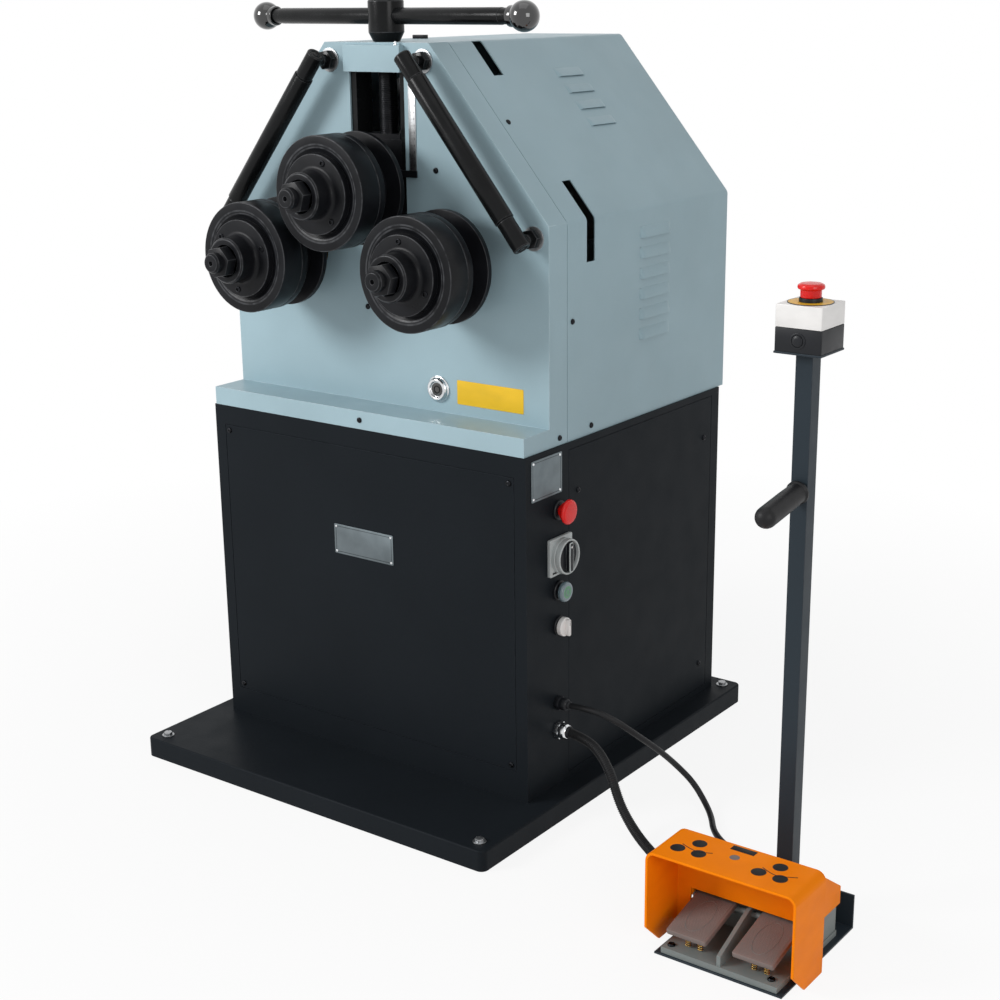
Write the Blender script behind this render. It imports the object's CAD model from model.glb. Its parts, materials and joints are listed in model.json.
import json
import math

import bmesh
import bpy
from mathutils import Matrix, Vector

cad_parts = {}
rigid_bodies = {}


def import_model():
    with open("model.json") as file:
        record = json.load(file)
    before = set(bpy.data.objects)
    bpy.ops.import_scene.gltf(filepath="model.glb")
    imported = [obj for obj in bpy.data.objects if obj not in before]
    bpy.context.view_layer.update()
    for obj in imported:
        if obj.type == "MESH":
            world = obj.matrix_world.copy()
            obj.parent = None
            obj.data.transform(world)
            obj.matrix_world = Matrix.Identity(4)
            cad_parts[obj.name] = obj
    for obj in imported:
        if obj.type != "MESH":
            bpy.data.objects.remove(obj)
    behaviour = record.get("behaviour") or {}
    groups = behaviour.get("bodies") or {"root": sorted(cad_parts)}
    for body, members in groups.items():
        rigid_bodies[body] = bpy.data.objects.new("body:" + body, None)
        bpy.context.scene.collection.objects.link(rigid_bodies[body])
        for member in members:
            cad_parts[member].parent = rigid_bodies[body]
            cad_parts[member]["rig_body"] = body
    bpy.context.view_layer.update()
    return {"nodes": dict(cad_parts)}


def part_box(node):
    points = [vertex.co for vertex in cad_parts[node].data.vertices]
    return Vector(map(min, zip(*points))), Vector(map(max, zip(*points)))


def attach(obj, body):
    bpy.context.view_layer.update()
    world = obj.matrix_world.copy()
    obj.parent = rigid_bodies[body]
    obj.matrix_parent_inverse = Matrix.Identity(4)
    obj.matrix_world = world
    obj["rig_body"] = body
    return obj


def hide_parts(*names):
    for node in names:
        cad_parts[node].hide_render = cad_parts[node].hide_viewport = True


# A three-roll ring roller with its pedal console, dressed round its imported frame. Blender's unit is
# the metre; sizes of the pieces are written in millimetres and scaled once, where they become
# points. +Z is up, the rollers face -Y and the operating switches are on the +X side.

bl_info = {
    "name": "Ring Roller",
    "version": (1, 0, 0),
    "blender": (4, 5, 0),
    "location": "View3D > Sidebar > Ring Roller",
    "description": "Builds a three-roll ring roller with its pedal console",
    "category": "Add Mesh",
}

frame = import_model()
MM = 0.001

# Places that many pieces share, in millimetres
FACE_Y = -161.4                 # front face of the housing
CABINET_FRONT = -229.0
CABINET_SIDE = 328.0
HOUSING_SIDE = 325.0
DECK_Z = 604.0                  # top of the cabinet
KNEE_Z = 943.8                  # where the housing's sides start to slope
ROOF_Z = 1204.7
ROOF_HALF = 104.8
COVER_FRONT = -112.4
COVER_BACK = 378.0
SWITCH_Y = -142.5
GLAND_Y = -146.5
SPINDLE_Y = -133.2
CONSOLE_X = 792.0
POST_Y = -240.6
HOOD_TOP = 153.0
CORD_STEPS = 10                 # points between two places of a cord's route
BODIES = {"top": "top_roller", "left": "left_roller", "right": "right_roller"}

FRONT, RIGHT, UP = (0, -1, 0), (1, 0, 0), (0, 0, 1)
UPRIGHT = Matrix.Rotation(math.radians(90), 4, "X")     # stands a flat drawing up to face the front
WELD = 0.00002                  # corners of a CAD mesh closer than this, in metres, are one
PLANE = 0.6                     # faces that turn less than this, in degrees, are one flat face

CABLE_ROUTE = [(0.354, -0.1465, 0.180), (0.392, -0.1455, 0.1825), (0.4285, -0.136, 0.1715),
               (0.455, -0.1075, 0.1405), (0.472, -0.0655, 0.1025), (0.481, -0.0235, 0.062),
               (0.506, -0.0115, 0.0335), (0.536, -0.024, 0.010), (0.563, -0.0525, 0.0055),
               (0.589, -0.0925, 0.0055), (0.6235, -0.121, 0.0055), (0.661, -0.1365, 0.0055),
               (0.699, -0.145, 0.008), (0.7225, -0.1645, 0.019), (0.7335, -0.189, 0.0265),
               (0.735, -0.2123, 0.028)]
CONDUIT_ROUTE = [(0.354, -0.1465, 0.133), (0.384, -0.148, 0.1305), (0.413, -0.1535, 0.1195),
                 (0.4415, -0.164, 0.095), (0.463, -0.1715, 0.052), (0.487, -0.179, 0.0265),
                 (0.518, -0.1935, 0.011), (0.5615, -0.2215, 0.0085), (0.6025, -0.2475, 0.0095),
                 (0.6365, -0.2755, 0.0195), (0.666, -0.2875, 0.0295), (0.692, -0.290, 0.036)]


def tone(red, green, blue):
    """A colour as a screen shows it, 0 to 255, turned into the linear values of shaders."""
    shares = (value / 255 for value in (red, green, blue))
    return tuple(v / 12.92 if v <= 0.04045 else ((v + 0.055) / 1.055) ** 2.4 for v in shares)


# ---------------------------------------------------------------- settings

def colour(name, description, default):
    return bpy.props.FloatVectorProperty(name=name, description=description, default=default,
                                         subtype="COLOR", size=3, min=0.0, max=1.0)


def length(name, description, default):
    return bpy.props.FloatProperty(name=name, description=description, default=default, min=0.0,
                                   unit="LENGTH", subtype="DISTANCE", precision=5)


def power(name, description, default):
    return bpy.props.FloatProperty(name=name, description=description, default=default, min=0.0,
                                   unit="POWER")


class RollerColours(bpy.types.PropertyGroup):
    """Colours of the paints and mouldings."""
    housing: colour("Housing paint", "Light paint of housing and bridge", tone(155, 180, 189))
    stand: colour("Stand paint", "Dark paint of the cabinet and base plate", tone(27, 31, 35))
    console: colour("Console paint", "Dark paint of the console's post and tray", tone(42, 51, 58))
    black_steel: colour("Blackened steel", "Oiled black of rollers and bars", tone(19, 20, 23))
    hood: colour("Hood", "Moulded guard over the pedals", tone(255, 134, 8))
    pedal: colour("Pedals", "Moulded treadles", tone(122, 110, 106))
    pedal_base: colour("Pedal base", "Moulded base under the treadles", tone(126, 133, 132))
    stop: colour("Stop button", "Mushroom head of both stop buttons", tone(222, 22, 18))
    start: colour("Start button", "Face of the start button under its boot", tone(84, 140, 104))
    notice: colour("Notice plate", "Bare plate on the housing's front", tone(238, 192, 44))


class RollerSizes(bpy.types.PropertyGroup):
    """Sizes of edges, cords and repeated details."""
    plate_edge: length("Plate edge", "Rounding of thick plates", 0.0020)
    sheet_edge: length("Sheet edge", "Rounding of folded sheet", 0.0010)
    mould_edge: length("Moulded edge", "Rounding of moulded parts", 0.0022)
    sheet: length("Cover sheet", "Thickness of the main cover", 0.0020)
    cable: length("Cable diameter", "Diameter of the control cable", 0.010)
    conduit: length("Conduit diameter", "Diameter over the conduit's ribs", 0.016)
    rib_pitch: length("Rib pitch", "Distance between the conduit's ribs", 0.0032)
    louvre_pitch: length("Louvre pitch", "Distance between two louvres", 0.033)
    screw_head: length("Screw head", "Diameter of a cover screw's head", 0.0092)


class RollerStage(bpy.types.PropertyGroup):
    """Floor, lamps and camera."""
    floor: colour("Floor", "Colour of the floor", (0.82, 0.82, 0.82))
    key: power("Key lamp", "Power of the big front lamp", 124.0)
    fill: power("Fill lamp", "Power of the lamp on the switch side", 30.0)
    top: power("Top lamp", "Power of the lamp overhead", 9.0)
    ambient: bpy.props.FloatProperty(name="Ambient", default=0.40, min=0.0,
                                     description="Strength of the surrounding light")
    lens: bpy.props.FloatProperty(name="Lens", description="Focal length on a 36 mm sensor",
                                  default=61.398, min=10.0, unit="CAMERA")


def colours():
    return bpy.context.scene.roller_colours


def sizes():
    return bpy.context.scene.roller_sizes


# ---------------------------------------------------------------- materials

class NodeTree:
    """A node tree in the making."""

    def __init__(self, tree):
        self.tree = tree

    def node(self, kind, inputs=None, **settings):
        """Add a node with its settings and inputs."""
        made = self.tree.nodes.new(kind)
        for name, value in settings.items():
            setattr(made, name, value)
        return self.feed(made, inputs or {})

    def feed(self, made, inputs):
        """Set a node's inputs; one that is another node's socket is linked to it."""
        for socket, value in inputs.items():
            if isinstance(value, bpy.types.NodeSocket):
                self.tree.links.new(value, made.inputs[socket])
            else:
                made.inputs[socket].default_value = value
        return made

    def math(self, operation, a, b=0.0):
        return self.node("ShaderNodeMath", {0: a, 1: b}, operation=operation).outputs[0]

    def seen(self):
        """1 for camera, glossy and transmission rays, and 0 for rays that gather light."""
        path = self.node("ShaderNodeLightPath")
        direct = self.math("MAXIMUM", path.outputs["Is Camera Ray"], path.outputs["Is Glossy Ray"])
        return self.math("MAXIMUM", direct, path.outputs["Is Transmission Ray"])


class Finish(NodeTree):
    """A procedural material in the making, on the object's own coordinates."""

    def __init__(self, name, **sockets):
        self.material = bpy.data.materials.new(name)
        self.material.use_nodes = True
        super().__init__(self.material.node_tree)
        self.shader = self.tree.nodes["Principled BSDF"]
        self.feed(self.shader, {key.replace("_", " "): value for key, value in sockets.items()})
        self.place = self.node("ShaderNodeTexCoord").outputs["Object"]
        self.height = None

    def noise(self, scale, detail=3.0, stretch=(1, 1, 1), seed=0.0):
        """A noise from 0 to 1 with about scale features a metre."""
        mapping = self.node("ShaderNodeMapping", {"Vector": self.place, "Scale": stretch,
                                                  "Location": (seed, seed * 0.7, seed * 1.3)})
        inputs = {"Vector": mapping.outputs[0], "Scale": scale, "Detail": detail}
        return self.node("ShaderNodeTexNoise", inputs).outputs[0]

    def attribute(self, name):
        return self.node("ShaderNodeAttribute", attribute_name=name).outputs["Fac"]

    def spread(self, value, low, high, to_low=0.0, to_high=1.0):
        inputs = {0: value, 1: low, 2: high, 3: to_low, 4: to_high}
        return self.node("ShaderNodeMapRange", inputs, clamp=True).outputs[0]

    def blend(self, factor, a, b):
        """One colour over another by a factor."""
        a, b = (value if isinstance(value, bpy.types.NodeSocket) else (*value, 1.0)
                for value in (a, b))
        made = self.node("ShaderNodeMix", {"Factor": factor, 6: a, 7: b}, data_type="RGBA")
        return made.outputs[2]

    def relief(self, height, depth):
        """Add a height map to the surface; depth is in metres."""
        inputs = {"Height": height, "Distance": depth, "Strength": 1.0}
        if self.height:
            inputs["Normal"] = self.height
        self.height = self.node("ShaderNodeBump", inputs).outputs[0]

    def done(self, base, haze, least, most, low=0.25, high=0.75):
        """Feed the shader its colour, its relief and a roughness that follows a noise."""
        roughness = self.spread(haze, low, high, least, most)
        self.feed(self.shader, {"Base Color": base, "Roughness": roughness})
        if self.height:
            self.feed(self.shader, {"Normal": self.height})
        return self.material


def shade(base, share):
    """A colour made lighter or darker by a share."""
    return tuple(min(1.0, max(0.0, channel * share)) for channel in base)


def sprayed_paint(name, base, roughness, peel=0.00010, specular=0.3, worn_to=None):
    """Sprayed machine enamel: orange peel, faint clouds, dust and rubbed edges."""
    finish = Finish(name, Specular_IOR_Level=specular)
    clouds = finish.spread(finish.noise(5.0, 4.0), 0.3, 0.7)
    body = finish.blend(clouds, shade(base, 0.93), shade(base, 1.06))
    specks = finish.spread(finish.noise(900.0, 2.0, seed=3.0), 0.62, 0.78)
    body = finish.blend(finish.math("MULTIPLY", specks, 0.25), body, shade(base, 1.5))
    rubbed = finish.spread(finish.noise(60.0, 5.0, seed=7.0), 0.38, 0.62, 0.25, 1.0)
    rubbed = finish.math("MULTIPLY", finish.attribute("worn"), rubbed)
    body = finish.blend(rubbed, body, worn_to or shade(base, 1.35))
    haze = finish.noise(22.0, 5.0, seed=11.0)
    finish.relief(finish.noise(420.0, 2.0, seed=1.0), peel)
    return finish.done(body, haze, roughness - 0.06, roughness + 0.08)


def blackened_steel(name, base, roughness=0.34):
    """Oiled black steel with turning marks along its profile and edges rubbed bright."""
    finish = Finish(name, Specular_IOR_Level=0.14)
    oil = finish.spread(finish.noise(14.0, 5.0), 0.35, 0.7)
    body = finish.blend(oil, shade(base, 0.75), shade(base, 1.5))
    rub = finish.spread(finish.noise(90.0, 4.0, seed=5.0), 0.35, 0.6, 0.2, 1.0)
    bright = finish.math("MULTIPLY", finish.attribute("worn"), finish.math("MULTIPLY", rub, 0.3))
    body = finish.blend(bright, body, tone(120, 122, 126))
    marks = finish.node("ShaderNodeTexNoise", {"W": finish.attribute("run"), "Scale": 1600.0,
                                               "Detail": 2.0}, noise_dimensions="1D").outputs[0]
    finish.relief(marks, 0.00003)
    finish.relief(finish.noise(500.0, 3.0, seed=2.0), 0.00003)
    return finish.done(body, finish.noise(35.0, 4.0, seed=9.0), roughness - 0.09, roughness + 0.11)


def bare_metal(name, base, roughness, stretch=(1, 1, 1), depth=0.00003):
    """Bare steel, zinc or bronze with fine scratches, stretched where it is brushed."""
    finish = Finish(name, Metallic=1.0)
    stain = finish.spread(finish.noise(30.0, 5.0), 0.3, 0.7)
    body = finish.blend(stain, shade(base, 0.8), shade(base, 1.08))
    scratch = finish.noise(700.0, 3.0, stretch, seed=4.0)
    finish.relief(scratch, depth)
    return finish.done(body, scratch, roughness - 0.07, roughness + 0.1)


def moulded(name, base, roughness, grain=0.00005, scale=900.0, specular=0.5, coat=0.0):
    """Moulded plastic or rubber: fine grain, faint flow marks and edges polished by hands."""
    finish = Finish(name, Specular_IOR_Level=specular, Coat_Weight=coat, Coat_Roughness=0.06)
    flow = finish.spread(finish.noise(18.0, 4.0, (1, 1, 2.5)), 0.3, 0.7)
    body = finish.blend(flow, shade(base, 0.93), shade(base, 1.05))
    body = finish.blend(finish.math("MULTIPLY", finish.attribute("worn"), 0.35), body,
                        shade(base, 1.3))
    finish.relief(finish.noise(scale, 2.0, seed=6.0), grain)
    return finish.done(body, finish.noise(40.0, 4.0, seed=8.0), roughness - 0.05, roughness + 0.07)


def make_materials():
    """Every finish of the machine, by name."""
    paint = colours()
    rubbed_dark = tone(62, 67, 73)
    return {
        "housing": sprayed_paint("Housing paint", paint.housing, 0.36, worn_to=tone(200, 215, 221)),
        "stand": sprayed_paint("Stand paint", paint.stand, 0.42, peel=0.00016, specular=0.04,
                               worn_to=rubbed_dark),
        "console": sprayed_paint("Console paint", paint.console, 0.40, specular=0.14,
                                 worn_to=rubbed_dark),
        "black": blackened_steel("Blackened steel", paint.black_steel),
        "bar_black": blackened_steel("Oiled bar", tone(17, 18, 19), 0.22),
        "screw_black": bare_metal("Black screws", tone(38, 39, 42), 0.34),
        "steel": bare_metal("Bare steel", tone(176, 178, 180), 0.32),
        "bright": bare_metal("Bright ring", tone(222, 224, 226), 0.14),
        "zinc": bare_metal("Zinc bolts", tone(168, 170, 172), 0.36),
        "bronze": bare_metal("Bronze", tone(176, 128, 66), 0.32),
        "brass": bare_metal("Brass spring", tone(206, 170, 96), 0.26),
        "rule": bare_metal("Rule steel", tone(206, 208, 210), 0.3, (1, 1, 12)),
        "plate": bare_metal("Brushed plate", tone(112, 121, 125), 0.5, (14, 14, 1), 0.00002),
        "ink": moulded("Printed black", tone(20, 20, 21), 0.5, specular=0.2),
        "ball": moulded("Ball ends", tone(8, 8, 9), 0.1, grain=0.00001, coat=1.0),
        "black_plastic": moulded("Black plastic", tone(24, 26, 30), 0.38, specular=0.25),
        "rubber": moulded("Cable rubber", tone(20, 21, 23), 0.5, scale=500.0, specular=0.25),
        "grip": moulded("Grip rubber", tone(18, 18, 20), 0.46, grain=0.00009, scale=600.0,
                        specular=0.25),
        "hood": moulded("Hood plastic", paint.hood, 0.38, grain=0.00007, scale=700.0,
                        specular=0.05),
        "pedal": moulded("Pedal plastic", paint.pedal, 0.5, grain=0.00008, specular=0.2),
        "pedal_base": moulded("Pedal base plastic", paint.pedal_base, 0.46, grain=0.00008,
                              specular=0.2),
        "stop": moulded("Stop plastic", paint.stop, 0.26, specular=0.3, coat=0.1),
        "white": moulded("White plastic", tone(232, 230, 228), 0.34),
        "grey": moulded("Isolator plastic", tone(176, 182, 182), 0.36),
        "yellow": moulded("Yellow ring", tone(226, 178, 40), 0.4),
        "notice": moulded("Notice foil", paint.notice, 0.36, specular=0.25),
        "start": moulded("Start face", paint.start, 0.35),
        "boot": moulded("Start boot", tone(104, 122, 130), 0.22, coat=0.5),
        "glass": moulded("Sight glass", tone(24, 19, 16), 0.08, grain=0.0, coat=1.0),
    }


_finishes = {}


def finish_named(name):
    """One of the machine's finishes; all of them are made at the first call."""
    if not _finishes:
        _finishes.update(make_materials())
    return _finishes[name]


# ---------------------------------------------------------------- shapes

def softened(profile, edge, closed=False, steps=3):
    """Round a line's corners. Gives (radius, distance, wear, run), with wear on outward corners."""
    points = [Vector(point) for point in profile]
    count = len(points)
    line = []
    for number, corner in enumerate(points):
        ends = not closed and number in (0, count - 1)
        before, after = points[number - 1], points[(number + 1) % count]
        shorter = min((before - corner).length, (after - corner).length)
        reach = 0.0 if ends else min(edge, 0.4 * shorter)
        if reach < 1e-6:
            line.append((corner, 0.0))
            continue
        first = corner + (before - corner).normalized() * reach
        last = corner + (after - corner).normalized() * reach
        turn = (corner - before).cross(after - corner)
        for step in range(steps + 1):
            share = step / steps
            point = first * (1 - share) ** 2 + corner * 2 * share * (1 - share) + last * share ** 2
            line.append((point, 1.0 if turn > 0 and 0 < step < steps else 0.0))
    run, result, last_point = 0.0, [], line[0][0]
    for point, wear in line:
        run += (point - last_point).length
        last_point = point
        result.append((point.x, point.y, wear, run * MM))
    return result


def hexagon(corner, turn=0):
    """Outline of a hexagon by its corner radius, turned by degrees."""
    angles = [math.radians(60 * number + turn) for number in range(6)]
    return [(corner * math.cos(angle), corner * math.sin(angle)) for angle in angles]


def rectangle(left, right, low, high):
    """Corners of a rectangle; on a lathe the section of a ring, as (radius, distance)."""
    return [(left, low), (right, low), (right, high), (left, high)]


def axes(x_axis, y_axis):
    """A turn whose X and Y axes point along two directions."""
    x_axis, y_axis = Vector(x_axis), Vector(y_axis)
    return Matrix((x_axis, y_axis, x_axis.cross(y_axis))).transposed().to_4x4()


def shifted(x, y, z):
    """A place in millimetres, without a turn."""
    return Matrix.Translation(Vector((x, y, z)) * MM)


def facing(at, along):
    """A place whose Z axis points along a direction; at is in millimetres."""
    return shifted(*at) @ Vector(along).to_track_quat("Z", "Y").to_matrix().to_4x4()


def facing_right(x, y, z):
    """A place on a wall that faces +X: its X axis runs along +Y and its Y axis upwards."""
    return shifted(x, y, z) @ axes((0, 1, 0), UP)


class Shape:
    """A mesh in the making. Each point keeps its wear and how far along its profile it lies."""

    def __init__(self):
        self.mesh = bmesh.new()
        self.worn = self.mesh.verts.layers.float.new("worn")
        self.run = self.mesh.verts.layers.float.new("run")

    def turned(self, profile, at, edge=0.5, segments=96, closed=False, finish=0):
        """Add a lathe-turned form: (radius, distance) pairs in millimetres along at's Z axis."""
        rings = []
        for radius, distance, wear, run in softened(profile, edge, closed):
            count = 1 if radius < 1e-6 else segments
            ring = []
            for step in range(count):
                angle = 2 * math.pi * step / segments
                point = Vector((radius * math.cos(angle), radius * math.sin(angle), distance)) * MM
                vertex = self.mesh.verts.new(at @ point)
                vertex[self.worn] = wear
                vertex[self.run] = run
                ring.append(vertex)
            rings.append(ring)
        faces = []
        pairs = list(zip(rings, rings[1:]))
        if closed:
            pairs.append((rings[-1], rings[0]))
        for low, high in pairs:
            for step in range(segments):
                corners = [low[step % len(low)], low[(step + 1) % len(low)],
                           high[(step + 1) % len(high)], high[step % len(high)]]
                corners = [c for n, c in enumerate(corners) if c not in corners[:n]]
                if len(corners) > 2:
                    faces.append(self.mesh.faces.new(corners))
        self.finish_faces(faces, finish)
        return self

    def block(self, low, high, edge=0.0, at=Matrix(), finish=0):
        """Add a block between two corners in millimetres, with rounded edges."""
        outline = rectangle(low[0], high[0], low[1], high[1])
        return self.prism(outline, low[2], high[2], edge, at, finish)

    def prism(self, outline, start, end, edge=0.0, at=Matrix(), finish=0, corner=0.0, steps=5):
        """Add an outline in millimetres drawn in at's XY plane and carried along its Z axis."""
        if corner:
            outline = [point[:2] for point in softened(outline, corner, True, steps)]
        levels = []
        for height in (start, end):
            levels.append([self.mesh.verts.new(at @ (Vector((x, y, height)) * MM))
                           for x, y in outline])
        count = len(outline)
        faces = [self.mesh.faces.new(levels[0]), self.mesh.faces.new(levels[1])]
        for step in range(count):
            following = (step + 1) % count
            faces.append(self.mesh.faces.new((levels[0][step], levels[0][following],
                                              levels[1][following], levels[1][step])))
        self.finish_faces(faces, finish)
        if edge:
            self.round_edges(faces, edge * MM)
        return self

    def node(self, name, edge):
        """Take a CAD node's own form, merged, with its sharp edges rounded."""
        self.mesh.from_mesh(frame["nodes"][name].data)
        bmesh.ops.remove_doubles(self.mesh, verts=self.mesh.verts, dist=WELD)
        bmesh.ops.dissolve_limit(self.mesh, angle_limit=math.radians(PLANE), verts=self.mesh.verts,
                                 edges=self.mesh.edges)
        for face in self.mesh.faces:
            face.material_index = 0
        if edge:
            self.round_edges(self.mesh.faces, edge)
        return self

    def round_edges(self, faces, width, limit=30.0, segments=2):
        """Round every sharp edge of some faces, and mark the new strips as worn."""
        sharp = [line for line in {line for face in faces for line in face.edges}
                 if len(line.link_faces) == 2 and line.calc_face_angle(0.0) > math.radians(limit)]
        sharp.sort(key=lambda line: tuple(line.verts[0].co) + tuple(line.verts[1].co))
        made = bmesh.ops.bevel(self.mesh, geom=sharp, offset=width, offset_type="OFFSET",
                               segments=segments, profile=0.5, affect="EDGES", clamp_overlap=True)
        strips = set(made["faces"])
        for vertex in {corner for face in strips for corner in face.verts}:
            if all(face in strips for face in vertex.link_faces):
                vertex[self.worn] = 1.0

    def finish_faces(self, faces, finish):
        for face in faces:
            face.material_index = finish
        bmesh.ops.recalc_face_normals(self.mesh, faces=faces)

    def piece(self, name, body, finishes, slot, replaces=(), smooth=32.0):
        """Put the shape in the scene as a piece."""
        return piece(self.mesh_data(name, smooth), name, body, finishes, replaces)

    def mesh_data(self, name, smooth=32.0):
        self.mesh.normal_update()
        data = bpy.data.meshes.new(name)
        self.mesh.to_mesh(data)
        self.mesh.free()
        data.shade_smooth()
        data.set_sharp_from_angle(angle=math.radians(smooth))
        return data


def linked(name, data):
    """A new object in the scene."""
    made = bpy.data.objects.new(name, data)
    bpy.context.scene.collection.objects.link(made)
    return made


def piece(data, name, body, finishes, replaces=()):
    """Put a finished mesh in the scene as a piece that rides on a body."""
    data.name = name
    for number, finish in enumerate(map(finish_named, finishes)):
        if number < len(data.materials):
            data.materials[number] = finish
        else:
            data.materials.append(finish)
    made = linked(name, data)
    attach(made, body)
    if replaces:
        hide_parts(*replaces)
    return made


def weighted(data, name):
    """The mesh with its shading kept flat on its large faces."""
    host = linked(name, data)
    modifier = host.modifiers.new("Shading", "WEIGHTED_NORMAL")
    modifier.keep_sharp = True
    return taken(host, name)


def taken(host, name):
    """The plain mesh of a host's evaluated modifiers; the host goes."""
    bpy.context.view_layer.update()
    graph = bpy.context.evaluated_depsgraph_get()
    data = bpy.data.meshes.new_from_object(host.evaluated_get(graph))
    data.name = name
    bpy.data.objects.remove(host)
    return data


def dressed(node, name, finish, edge):
    """A CAD node's form with rounded, rubbed edges, standing for the node."""
    shape = Shape().node(node, edge)
    data = weighted(shape.mesh_data(name), name)
    return piece(data, name, body_of(node), [finish], [node])


def body_of(node):
    return frame["nodes"][node]["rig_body"]


def islands(node):
    """Lowest and highest corner of each loose part of a CAD node, in millimetres."""
    mesh = bmesh.new()
    mesh.from_mesh(frame["nodes"][node].data)
    bmesh.ops.remove_doubles(mesh, verts=mesh.verts, dist=WELD)
    waiting, found = set(mesh.verts), []
    while waiting:
        group, reached = [], [next(iter(waiting))]
        waiting.discard(reached[0])
        while reached:
            vertex = reached.pop()
            group.append(vertex)
            for line in vertex.link_edges:
                other = line.other_vert(vertex)
                if other in waiting:
                    waiting.discard(other)
                    reached.append(other)
        low = Vector([min(v.co[axis] for v in group) for axis in range(3)])
        high = Vector([max(v.co[axis] for v in group) for axis in range(3)])
        found.append((low / MM, high / MM))
    mesh.free()
    return sorted(found, key=lambda pair: tuple(round(value, 2) for value in pair[0]))


# ---------------------------------------------------------------- geometry nodes

class GeoTree(NodeTree):
    """A geometry node tree in the making, with named inputs."""

    def __init__(self, name):
        super().__init__(bpy.data.node_groups.new(name, "GeometryNodeTree"))
        self.tree.interface.new_socket("Geometry", in_out="OUTPUT",
                                       socket_type="NodeSocketGeometry")
        self.start = self.tree.nodes.new("NodeGroupInput")
        self.end = self.tree.nodes.new("NodeGroupOutput")

    def input(self, name, kind):
        self.tree.interface.new_socket(name, in_out="INPUT", socket_type=f"NodeSocket{kind}")
        return self.start.outputs[name]

    def copies(self, points, template, finish, rotation=None):
        """Set a template object's mesh on each point, and end the tree."""
        copy = self.node("GeometryNodeObjectInfo", {"Object": template}).outputs["Geometry"]
        inputs = {"Points": points, "Instance": copy}
        if rotation:
            inputs["Rotation"] = rotation
        made = self.node("GeometryNodeInstanceOnPoints", inputs)
        return self.close(made.outputs[0], finish)

    def close(self, geometry, finish):
        """End the tree in Realize Instances and Set Material."""
        real = self.node("GeometryNodeRealizeInstances", {"Geometry": geometry}).outputs[0]
        painted = self.node("GeometryNodeSetMaterial", {"Geometry": real, "Material": finish})
        self.feed(self.end, {0: painted.outputs[0]})
        return self.tree


def row_tree():
    """A template repeated along a straight row."""
    geo = GeoTree("Row of copies")
    template = geo.input("Template", "Object")
    count = geo.input("Count", "Int")
    step = geo.input("Step", "Vector")
    finish = geo.input("Finish", "Material")
    line = geo.node("GeometryNodeMeshLine", {"Count": count, "Offset": step}, mode="OFFSET")
    return geo.copies(line.outputs[0], template, finish)


def scatter_tree():
    """A template set on each point of a mesh, faced along that point's own direction."""
    geo = GeoTree("Copies on points")
    points = geo.input("Points", "Geometry")
    template = geo.input("Template", "Object")
    turn = geo.input("Largest turn", "Float")
    seed = geo.input("Seed", "Int")
    finish = geo.input("Finish", "Material")
    towards = geo.node("GeometryNodeInputNamedAttribute", {"Name": "facing"},
                       data_type="FLOAT_VECTOR")
    faced = geo.node("FunctionNodeAlignRotationToVector", {"Vector": towards.outputs[0]}, axis="Z")
    chance = geo.node("FunctionNodeRandomValue", {3: turn, "Seed": seed}, data_type="FLOAT")
    spin = geo.node("FunctionNodeAxisAngleToRotation", {"Angle": chance.outputs[1], "Axis": UP})
    turned = geo.node("FunctionNodeRotateRotation", {"Rotation": faced.outputs[0],
                                                     "Rotate By": spin.outputs[0]},
                      rotation_space="LOCAL")
    return geo.copies(points, template, finish, turned.outputs[0])


def path_tree():
    """A template repeated along a curve and turned with it."""
    geo = GeoTree("Copies along a path")
    path = geo.input("Path", "Geometry")
    template = geo.input("Template", "Object")
    pitch = geo.input("Pitch", "Float")
    finish = geo.input("Finish", "Material")
    points = geo.node("GeometryNodeCurveToPoints", {"Curve": path, "Length": pitch},
                      mode="LENGTH").outputs
    return geo.copies(points["Points"], template, finish, points["Rotation"])


def coil_tree():
    """A wire wound into a coil: a compression spring, or the ridge of a screw thread."""
    geo = GeoTree("Wound wire")
    turns = geo.input("Turns", "Float")
    radius = geo.input("Radius", "Float")
    height = geo.input("Height", "Float")
    wire = geo.input("Wire", "Float")
    sides = geo.input("Sides", "Int")
    finish = geo.input("Finish", "Material")
    spiral = geo.node("GeometryNodeCurveSpiral", {"Resolution": 40, "Rotations": turns,
                                                  "Start Radius": radius, "End Radius": radius,
                                                  "Height": height})
    section = geo.node("GeometryNodeCurvePrimitiveCircle", {"Resolution": sides, "Radius": wire})
    tube = geo.node("GeometryNodeCurveToMesh", {"Curve": spiral.outputs[0],
                                                "Profile Curve": section.outputs[0],
                                                "Fill Caps": True})
    return geo.close(tube.outputs[0], finish)


def run_tree(tree, host_data, settings, name):
    """Put a tree on a host, set its inputs by their identifiers and take the plain mesh."""
    host = linked(f"{name}_host", host_data)
    modifier = host.modifiers.new("Nodes", "NODES")
    modifier.node_group = tree
    sockets = {item.name: item.identifier for item in tree.interface.items_tree
               if item.in_out == "INPUT"}
    for label, value in settings.items():
        modifier[sockets[label]] = finish_named(value) if label == "Finish" else value
    data = taken(host, name)
    template = settings.get("Template")
    if template:
        bpy.data.objects.remove(template)
    bpy.data.node_groups.remove(tree)
    return data


def template_of(shape, name):
    """An object that only lends its mesh to a tree."""
    return linked(f"{name}_template", shape.mesh_data(f"{name}_template"))


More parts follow.
